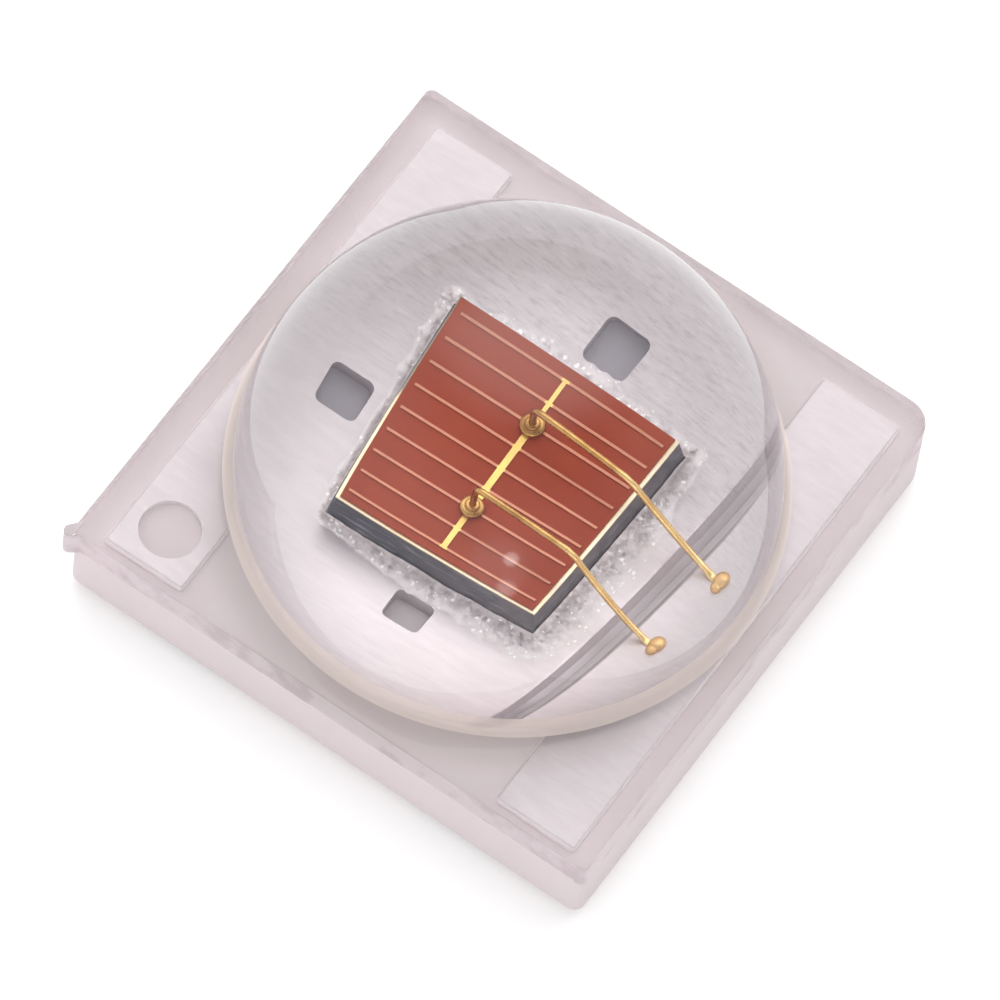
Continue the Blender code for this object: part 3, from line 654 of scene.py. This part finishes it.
def makeFootSilicone():
    # dome's foot, frosted, pale and tan: painted light that lightens the dark line the foot's
    # refraction makes, with a tan tint standing in for the crescent of light there
    material, tree, shader = newMaterial("footLightSilicone")
    cloud = useGroup(tree, grain, Fine_Scale=40.0, Coarse_Scale=2.0)
    colour = addMix(tree, cloud["Coarse"], srgb(248, 233, 224), srgb(253, 242, 236))
    setInputs(tree, shader, Base_Color=colour, Roughness=0.3)
    setInputs(tree, shader, IOR=lensShape["refraction"], Transmission_Weight=0.5)
    addBump(tree, shader, cloud["Fine"], 0.0003)
    return material


def makeDicedSilicone():
    # sawn edge of the silicone film, frosted by the saw, with smudges of dirt
    material, tree, shader = newMaterial("dicedSilicone")
    sawn = useGroup(tree, streaks, Scale=22.0)
    cloud = useGroup(tree, grain, Fine_Scale=40.0, Coarse_Scale=5.0)
    soil = addRange(tree, cloud["Coarse"], 0.46, 0.64, 0.0, 0.8)
    colour = addMix(tree, soil, srgb(252, 243, 246), srgb(216, 204, 208))
    setInputs(tree, shader, Base_Color=colour, Roughness=0.5)
    setInputs(tree, shader, IOR=lensShape["refraction"], Transmission_Weight=0.75)
    addBump(tree, shader, sawn["Sawn"], 0.001)
    return material


def dress(node, material):
    data = nodes[node].data
    data.materials.clear()
    data.materials.append(material)


ceramicMaterial = makeCeramic()
topMetalMaterial = makeTopMetal()
goldMaterial = makeMetal(
    "wireGold", srgb(230, 184, 120), srgb(250, 214, 150), 0.28, bumpHeight=0.0002,
    redReflection=(srgb(176, 128, 74), srgb(216, 172, 106)),
)
bumpMaterial = makeMetal("bondedGold", srgb(216, 162, 98), srgb(244, 200, 136), 0.42, bumpHeight=0.001)
backMetalMaterial = makeMetal("backMetal", srgb(138, 138, 152), srgb(170, 170, 184), 0.4)
rimMaterial = makeRim()
solderMaterial = makeMetal("goldFlash", srgb(231, 192, 123), srgb(238, 202, 135), 0.35)
copperMaterial = makeMetal("copperPlug", srgb(196, 128, 100), srgb(222, 156, 124), 0.4)
gridMaterial = makeGrid()
slateMaterial = makeSlate()
redMaterial = makeRedLayer()
glueMaterial = makeGlue()
clearSilicone = makeSilicone()
dicedSilicone = makeDicedSilicone()
footLightSilicone = makeFootSilicone()

for node, material in (
    ("chip_pad_metal", topMetalMaterial),
    ("wire_pad_metal", topMetalMaterial),
    ("solder_pad_anode", solderMaterial),
    ("solder_pad_thermal", solderMaterial),
    ("solder_pad_cathode", solderMaterial),
    ("chip_back_metal", backMetalMaterial),
    ("chip_bonding_metal", rimMaterial),
    ("chip_light_layer", redMaterial),
    ("chip_contact_grid", gridMaterial),
):
    dress(node, material)
for number in range(1, 5):
    dress(f"via_plug_{number}", copperMaterial)
print("materials are on")


def addPiece(name, bm, materials, replaced, sharpAngle):
    bmesh.ops.recalc_face_normals(bm, faces=bm.faces)
    mesh = bpy.data.meshes.new(name)
    bm.to_mesh(mesh)
    bm.free()
    mesh.shade_smooth()
    mesh.set_sharp_from_angle(angle=math.radians(sharpAngle))
    for material in materials:
        mesh.materials.append(material)
    piece = bpy.data.objects.new(name, mesh)
    bpy.context.scene.collection.objects.link(piece)
    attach(piece, "root")
    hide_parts(replaced)


def addSkin(bm, rings):
    # a skin over rings of points in millimetres, with flat ends
    skins = [[bm.verts.new(point * mm) for point in ring] for ring in rings]
    for lower, upper in zip(skins, skins[1:]):
        count = len(lower)
        for index in range(count):
            following = (index + 1) % count
            bm.faces.new((lower[index], lower[following], upper[following], upper[index]))
    bm.faces.new(skins[0])
    bm.faces.new(skins[-1])
    return skins


def noiseAt(place, scale, shift=(0, 0, 0)):
    # smooth noise from -1 to 1; the place is in mm and the scale in waves per mm
    return noise.noise(Vector([place[i] * scale[i] + shift[i] for i in range(3)]))


# Ceramic plate: sawn, with rounded upright edges, in mm
plate = {
    # sides of the corner in X and Y, and its radius
    "cornerRadii": ((-1, -1, 0.075), (1, -1, 0.07), (1, 1, 0.16), (-1, 1, 0.045)),
    "edge": 0.008,          # bevel round the underside
    "bevelShare": 0.3,      # of the bevel, where it turns
    "stepsPerCorner": 12,
    "stepsPerSide": 24,
    "stepsUp": 8,
    "waviness": 0.0015,
    "waveScale": (3, 3, 5),  # waves per mm
}


def plateOutline(inset):
    # round the plate, against the clock, in millimetres
    low, high = boxes["ceramic_substrate"]
    points = []
    for index, (sideX, sideY, radius) in enumerate(plate["cornerRadii"]):
        middle = Vector((
            (high.x if sideX > 0 else low.x) - sideX * radius,
            (high.y if sideY > 0 else low.y) - sideY * radius,
        ))
        for step in range(plate["stepsPerCorner"] + 1):
            angle = math.pi + math.pi / 2 * (index + step / plate["stepsPerCorner"])
            points.append(middle + Vector((math.cos(angle), math.sin(angle))) * (radius - inset))
    outline = []
    for point, following in zip(points, points[1:] + points[:1]):
        isSide = (following - point).length > (high.x - low.x) / 2
        count = plate["stepsPerSide"] if isSide else 1
        for step in range(count):
            outline.append(point.lerp(following, step / count))
    return outline


def addPlate():
    low, high = boxes["ceramic_substrate"]
    edge = plate["edge"]
    turn = plate["bevelShare"] * edge
    levels = [(edge, low.z), (turn, low.z + turn), (0.0, low.z + edge)]
    for step in range(1, plate["stepsUp"] + 1):
        levels.append((0.0, low.z + edge + (high.z - low.z - edge) * step / plate["stepsUp"]))
    rings = []
    for inset, z in levels:
        ring = []
        for point in plateOutline(inset):
            wave = plate["waviness"] * (0.5 + 0.5 * noiseAt((point.x, point.y, z), plate["waveScale"]))
            ring.append(Vector((point.x * (1 - wave / high.x), point.y * (1 - wave / high.x), z)))
        rings.append(ring)
    bm = bmesh.new()
    addSkin(bm, rings)
    addPiece("ceramic_plate", bm, [ceramicMaterial], "ceramic_substrate", sharpAngle=30)


addPlate()
print("plate is made")


# Silver glue: a rough fillet round the chip, wide in front and thin behind, in mm
glue = {
    # of the front, right, back and left side: way out in degrees, width at its start,
    # middle and end, and height
    "sides": (
        (-90, (0.045, 0.092, 0.13), 0.030), (0, (0.14, 0.13, 0.07), 0.032),
        (90, (0.07, 0.085, 0.06), 0.022), (180, (0.05, 0.04, 0.04), 0.024),
    ),
    "stepsPerSide": 110,
    "stepsPerCorner": 24,
    "slopeSteps": 18,
    "wallGap": 0.004,       # to the chip's wall
    "fade": 2.0,            # how hollow the slope is
    "raggedness": 0.01,     # of the outer edge
    "raggedShare": 0.2,     # of the width
    "raggedScales": ((9, 1.0, 3.1), (28, 0.5, 7.7)),  # waves per mm, weight and layer of noise
    "lumps": ((8.0, 0.007), (26.0, 0.004), (70.0, 0.0015)),  # waves per mm, and height
    "lift": 0.0002,         # over the plating, at the outer edge
}


def smoothStep(value):
    value = min(1.0, max(0.0, value))
    return value * value * (3 - 2 * value)


def glueLine():
    # foot on the chip's wall, way out, width and height, all round
    half = chip["halfSide"] + glue["wallGap"]
    line = []
    for outDegrees, widths, height in glue["sides"]:
        out = directionOf(outDegrees, 0)
        along = Vector((-out.y, out.x, 0))
        for step in range(glue["stepsPerSide"]):
            travel = 2 * step / glue["stepsPerSide"] - 1
            end = widths[2] if travel > 0 else widths[0]
            width = widths[1] + (end - widths[1]) * smoothStep(abs(travel))
            line.append(((out + along * travel) * half, out, width, height))
        for step in range(glue["stepsPerCorner"]):
            way = directionOf(outDegrees + 90 * step / glue["stepsPerCorner"], 0)
            line.append(((out + along) * half, way, widths[2], height))
    return line


def addGlue():
    bottom = boxes["chip_pad_metal"][1].z
    line = glueLine()
    levels = glue["slopeSteps"]
    rings = [[] for _ in range(levels + 3)]
    for foot, way, width, height in line:
        edge = foot + way * width
        ragged = 0.0
        for scale, weight, layer in glue["raggedScales"]:
            ragged += weight * noiseAt(edge, (scale, scale, 0), (0, 0, layer))
        reach = width * (1 + glue["raggedShare"] * ragged) + glue["raggedness"] * ragged
        outer = foot + way * reach
        rings[0].append(chipPlace(outer.x, outer.y, bottom))
        for level in range(levels + 1):
            share = 1 - level / levels
            point = foot + way * (reach * share)
            rise = height * (1 - share) ** glue["fade"]
            for scale, high in glue["lumps"]:
                lump = noiseAt(point, (scale, scale, 0), (0, 0, scale))
                rise += high * lump * (1 - share)
            rise = max(glue["lift"], rise)
            rings[1 + level].append(chipPlace(point.x, point.y, bottom + rise))
        rings[-1].append(chipPlace(foot.x, foot.y, bottom))
    bm = bmesh.new()
    outLayer = bm.verts.layers.float.new("out")
    skins = addSkin(bm, rings)
    for level in range(levels + 1):
        for vertex in skins[1 + level]:
            vertex[outLayer] = 1 - level / levels
    for vertex in skins[0]:
        vertex[outLayer] = 1.0
    addPiece("silver_glue", bm, [glueMaterial], "die_attach_glue", sharpAngle=80)


addGlue()
print("glue is made")


# Carrier: sawn sides with chipped lower edges, in mm
carrier = {
    "stepsAlong": 150,
    "stepsUp": 14,
    "cornerRadius": 0.006,
    "cornerDrop": 0.25,     # of that radius, how far a corner lies back
    "ripple": 0.0025,       # sawing waves
    "rippleScale": (14, 14, 30),  # waves per mm
    "chips": 0.010,         # chips near the lower edge
    "chipScale": (24, 24, 8),
    "chipLayer": 9.0,       # of the noise
    "chipFloor": 0.1,       # noise under this leaves no chip
}


def addCarrier():
    low, high = boxes["chip_carrier"]
    turn = math.radians(chip["turn"])
    # the box is that of a turned square
    half = (high.x - low.x) / 2 / (math.cos(turn) + math.sin(turn))
    rings = []
    for level in range(carrier["stepsUp"] + 1):
        share = level / carrier["stepsUp"]
        z = low.z + (high.z - low.z) * share
        ring = []
        for outDegrees in (-90, 0, 90, 180):
            out = directionOf(outDegrees, 0)
            along = Vector((-out.y, out.x, 0))
            for step in range(carrier["stepsAlong"]):
                travel = 2 * step / carrier["stepsAlong"] - 1
                point = (out + along * travel) * half
                place = (point.x, point.y, z)
                wave = noiseAt(place, carrier["rippleScale"])
                chipped = noiseAt(place, carrier["chipScale"], (0, 0, carrier["chipLayer"]))
                chipped = max(0.0, chipped - carrier["chipFloor"])
                inward = carrier["ripple"] * (0.5 + 0.5 * wave)
                inward += carrier["chips"] * chipped * (1 - share) ** 2
                keep = min(1.0, (1 - abs(travel)) * half / carrier["cornerRadius"])
                cut = carrier["cornerDrop"] * carrier["cornerRadius"]
                scale = 1 - (inward * keep + cut * (1 - keep)) / half
                ring.append(chipPlace(point.x * scale, point.y * scale, z))
        rings.append(ring)
    bm = bmesh.new()
    addSkin(bm, rings)
    addPiece("sawn_carrier", bm, [slateMaterial], "chip_carrier", sharpAngle=50)


addCarrier()
print("carrier is made")


# Gold wires: squashed ball with a collar, tight bend, level loop, kink and long landing, in mm
wire = {
    "radius": 0.014,
    "ballSpread": 0.20,
    "ballRadius": 0.0475,
    "ballHeight": 0.034,
    # shares of the ball's radius and height
    "ballProfile": (
        (0.72, 0.0), (0.9, 0.04), (0.98, 0.14), (1.0, 0.26), (0.98, 0.4), (0.9, 0.52), (0.76, 0.6),
        (0.64, 0.62), (0.6, 0.66), (0.6, 0.84), (0.57, 0.92), (0.46, 0.98), (0.32, 1.0),
    ),
    "neckShare": 1.15,      # of the ball's height, where the round wire starts
    "loopHeight": 0.165,
    "bend": 0.04,
    "kinkReach": 0.485,
    "kinkDrop": 0.035,
    "slopeReach": 0.68,
    "slopeHeight": 0.095,
    "stitchWidth": 0.036,
    "stitchThickness": 0.008,
    "stitchTail": 0.02,
    # shares of the flattened end's length and width
    "stitchProfile": ((0.0, 0.9), (0.2, 0.97), (0.4, 1.0), (0.6, 0.93), (0.8, 0.8), (1.0, 0.4)),
    "flattenFrom": 0.9,     # of the landing
    "bondX": 0.909,
    "bondSpread": 0.193,
    "bondShiftY": -0.028,
    "bumpRadius": 0.052,
    "seat": 0.002,
    "sides": 24,
    "neckSteps": 4,
    "bendSteps": 12,
    "loopSteps": 10,
    "landingSteps": 28,
}


def bondEnds(side):
    ball = chipPlace(0, side * wire["ballSpread"], 0)
    return ball, Vector((wire["bondX"], wire["bondShiftY"] + side * wire["bondSpread"], 0))


def wireStations(span):
    # reach, height, half width and half thickness
    chipTop = boxes["chip_contact_grid"][1].z + wire["seat"]
    padTop = boxes["wire_pad_metal"][1].z + wire["seat"]
    radius = wire["radius"]
    stations = []
    for shareRadius, shareHeight in wire["ballProfile"]:
        size = wire["ballRadius"] * shareRadius
        stations.append((0.0, chipTop + wire["ballHeight"] * shareHeight, size, size))
    top = boxes["chip_contact_grid"][1].z + wire["loopHeight"]
    neck = chipTop + wire["ballHeight"] * wire["neckShare"]
    bendFoot = top - wire["bend"]
    for step in range(wire["neckSteps"]):
        stations.append((0.0, neck + (bendFoot - neck) * step / wire["neckSteps"], radius, radius))
    for step in range(wire["bendSteps"] + 1):
        angle = math.pi / 2 * step / wire["bendSteps"]
        reach = wire["bend"] * (1 - math.cos(angle))
        stations.append((reach, bendFoot + wire["bend"] * math.sin(angle), radius, radius))
    for step in range(1, wire["loopSteps"]):
        share = step / wire["loopSteps"]
        reach = wire["bend"] + share * (wire["kinkReach"] - wire["bend"])
        stations.append((reach, top - wire["kinkDrop"] * share ** 2 / 2, radius, radius))
    kink = top - wire["kinkDrop"]
    landing = span - wire["bumpRadius"] - wire["seat"]
    flatLevel = padTop + wire["stitchThickness"] / 2
    slope = boxes["wire_pad_metal"][1].z + wire["slopeHeight"]
    for step in range(wire["landingSteps"]):
        t = step / wire["landingSteps"]
        start, middle, end = (1 - t) ** 2, 2 * t * (1 - t), t * t
        reach = start * wire["kinkReach"] + middle * wire["slopeReach"] + end * landing
        z = start * kink + middle * slope + end * flatLevel
        squash = smoothStep((t - wire["flattenFrom"]) / (1 - wire["flattenFrom"]))
        width = radius + squash * (wire["stitchWidth"] / 2 - radius)
        thick = radius + squash * (wire["stitchThickness"] / 2 - radius)
        stations.append((reach, max(z, padTop + thick), width, thick))
    length = span + wire["stitchTail"] - landing
    thick = wire["stitchThickness"] / 2
    for share, wide in wire["stitchProfile"]:
        stations.append((landing + share * length, flatLevel, wire["stitchWidth"] / 2 * wide, thick))
    return stations


def addWire(number, side):
    ball, far = bondEnds(side)
    way = (far - ball).normalized()
    across = Vector((-way.y, way.x, 0))
    stations = wireStations((far - ball).length)
    rings = []
    for index, (reach, z, width, thick) in enumerate(stations):
        before = stations[max(0, index - 1)]
        after = stations[min(len(stations) - 1, index + 1)]
        normal = way * (before[1] - after[1]) + Vector((0, 0, after[0] - before[0]))
        normal = normal.normalized() if index >= len(wire["ballProfile"]) else -way
        centre = Vector((ball.x, ball.y, z)) + way * reach
        ring = []
        for corner in range(wire["sides"]):
            angle = 2 * math.pi * corner / wire["sides"]
            ring.append(centre + across * width * math.cos(angle) + normal * thick * math.sin(angle))
        rings.append(ring)
    bm = bmesh.new()
    addSkin(bm, rings)
    addPiece(f"gold_wire_{number}", bm, [goldMaterial], f"bond_wire_{number}", sharpAngle=60)


# Security bumps: a large flat lobe and a small one, with a crease where they meet, in mm
bump = {
    # offset from the bond, and radii
    "lobes": (
        ((-0.003, 0.010, 0.004), (0.042, 0.042, 0.030)),
        ((0.000, -0.027, 0.003), (0.031, 0.024, 0.022)),
    ),
    "seed": (-0.002, -0.012, 0.006),  # inside both lobes
    "turns": 48,
    "rises": 20,
    "dent": 0.03,           # share of the reach
    "dentScale": (60, 60, 60),  # waves per mm
    "dentShift": 5,         # of the noise, from one bump to the next
}


def lobeReach(start, way, centre, radii):
    # far crossing of a ray with an ellipsoid, or 0
    scaledStart = Vector([(start[i] - centre[i]) / radii[i] for i in range(3)])
    scaledWay = Vector([way[i] / radii[i] for i in range(3)])
    a = scaledWay.dot(scaledWay)
    b = scaledStart.dot(scaledWay)
    c = scaledStart.dot(scaledStart) - 1
    inside = b * b - a * c
    return (-b + math.sqrt(inside)) / a if inside > 0 else 0.0


def addEndBump(number, side):
    _, far = bondEnds(side)
    floor = boxes["wire_pad_metal"][1].z
    seed = Vector(bump["seed"])
    rings = []
    for rise in range(bump["rises"]):
        lean = -math.pi / 2 + math.pi * (rise + 0.5) / bump["rises"]
        ring = []
        for turn in range(bump["turns"]):
            way = directionOf(360 * turn / bump["turns"], math.degrees(lean))
            reach = max(lobeReach(seed, way, Vector(centre), radii) for centre, radii in bump["lobes"])
            point = seed + way * reach
            shift = (number * bump["dentShift"], 0, 0)
            point *= 1 + bump["dent"] * noiseAt(point, bump["dentScale"], shift)
            ring.append(Vector((far.x + point.x, far.y + point.y, floor + max(0.0, point.z))))
        rings.append(ring)
    bm = bmesh.new()
    addSkin(bm, rings)
    addPiece(f"end_bump_{number}", bm, [bumpMaterial], f"stitch_bump_{number}", sharpAngle=40)


for number, side in enumerate((1, -1), 1):
    addWire(number, side)
    addEndBump(number, side)
print("wires are made")


# The lens's shape
def circleReach(start, way, middle, radius):
    # far crossing of a ray with a circle, or 0
    along = (middle - start).dot(way)
    aside = radius ** 2 - ((middle - start).length_squared - along ** 2)
    return along + math.sqrt(aside) if aside > 0 else 0.0


def filmReach(angle):
    # distance from the dome's axis to the film's edge in one direction
    start = Vector(lensShape["centre"])
    way = Vector((math.cos(angle), math.sin(angle)))
    half = boxes["ceramic_substrate"][1].x - lensShape["inset"]
    reaches = []
    for axis in (0, 1):
        if abs(way[axis]) > 1e-9:
            reaches.append((math.copysign(half, way[axis]) - start[axis]) / way[axis])
    reach = min(reaches)
    for sideX, sideY, radius in lensShape["cornerRadii"]:
        middle = Vector((sideX * (half - radius), sideY * (half - radius)))
        offset = start + way * reach - middle
        if offset.x * sideX > 0 and offset.y * sideY > 0:
            reach = circleReach(start, way, middle, radius)
    flash = circleReach(start, way, Vector((-half, -half)), lensShape["flashRadius"])
    return max(reach, flash)


def lensAngles():
    # even steps, with finer ones near the film's corners
    start = Vector(lensShape["centre"])
    half = boxes["ceramic_substrate"][1].x
    turnStep = lensShape["turnStep"]
    angles = {math.radians(step * turnStep) for step in range(round(360 / turnStep))}
    for sideX in (-1, 1):
        for sideY in (-1, 1):
            corner = Vector((sideX * half, sideY * half)) - start
            middle = math.atan2(corner.y, corner.x) % (2 * math.pi)
            for step in range(-lensShape["cornerSteps"], lensShape["cornerSteps"] + 1):
                angles.add((middle + math.radians(step * lensShape["cornerStep"])) % (2 * math.pi))
    kept = []
    for angle in sorted(angles):
        if not kept or angle - kept[-1] > math.radians(lensShape["leastStep"]):
            kept.append(angle)
    return kept


def domeRings(filmTop):
    # distance from the axis and height, from near the pole down to the foot's hollow
    radius, foot = lensShape["radius"], lensShape["foot"]
    middle = filmTop + lensShape["rise"]
    footCentre = filmTop + foot
    reach = math.sqrt((radius + foot) ** 2 - (footCentre - middle) ** 2)
    meeting = math.atan2(footCentre - middle, reach)
    rings = []
    for step in range(1, lensShape["domeSteps"] + 1):
        lean = math.pi / 2 + (meeting - math.pi / 2) * step / lensShape["domeSteps"]
        rings.append((radius * math.cos(lean), middle + radius * math.sin(lean)))
    for step in range(1, lensShape["footSteps"] + 1):
        lean = math.pi + meeting + (math.pi / 2 - meeting) * step / lensShape["footSteps"]
        rings.append((reach + foot * math.cos(lean), footCentre + foot * math.sin(lean)))
    return rings, reach


def edgeRings(filmTop, filmBottom):
    # share of the way to the film's edge, inset and height
    soft = lensShape["edgeSoftness"]
    rings = [(share, 0.0, filmTop) for share in lensShape["filmShares"]]
    for step in range(lensShape["edgeSteps"] + 1):
        lean = math.pi / 2 * step / lensShape["edgeSteps"]
        rings.append((1.0, soft * (1 - math.sin(lean)), filmTop - soft * (1 - math.cos(lean))))
    for step in range(1, lensShape["sideSteps"] + 1):
        drop = (filmBottom - filmTop + soft) * step / lensShape["sideSteps"]
        rings.append((1.0, 0.0, filmTop - soft + drop))
    return rings


def addLens():
    filmTop = boxes["ceramic_substrate"][1].z + lensShape["filmThickness"]
    filmBottom = boxes["ceramic_substrate"][1].z - lensShape["sink"]
    angles = lensAngles()
    count = len(angles)
    centre = Vector(lensShape["centre"])
    bm = bmesh.new()

    def addRing(radii, z):
        ring = []
        for angle, radius in zip(angles, radii):
            place = (centre.x + radius * math.cos(angle), centre.y + radius * math.sin(angle), z)
            ring.append(bm.verts.new(Vector(place) * mm))
        return ring

    rings, reach = domeRings(filmTop)
    skins = [addRing([radius] * count, z) for radius, z in rings]
    for share, inset, z in edgeRings(filmTop, filmBottom):
        radii = [reach + share * (filmReach(angle) - inset - reach) for angle in angles]
        skins.append(addRing(radii, z))
    poleHeight = filmTop + lensShape["rise"] + lensShape["radius"]
    pole = bm.verts.new(Vector((centre.x, centre.y, poleHeight)) * mm)
    for index in range(count):
        bm.faces.new((skins[0][index], skins[0][(index + 1) % count], pole))
    sideStart = len(skins) - lensShape["sideSteps"] - 1
    footLightStart = lensShape["domeSteps"] - lensShape["footLightSteps"] - 1
    footLightEnd = lensShape["domeSteps"] + lensShape["footSteps"] - 1
    for level, (inner, outer) in enumerate(zip(skins, skins[1:])):
        for index in range(count):
            following = (index + 1) % count
            face = bm.faces.new((inner[index], outer[index], outer[following], inner[following]))
            if level >= sideStart:
                face.material_index = 1
            elif footLightStart <= level < footLightEnd:
                face.material_index = 2
    bm.faces.new(skins[-1])
    materials = [clearSilicone, dicedSilicone, footLightSilicone]
    addPiece("clear_lens", bm, materials, "silicone_lens", sharpAngle=60)


addLens()
print("lens is made")

bpy.context.scene.view_settings.view_transform = "Standard"
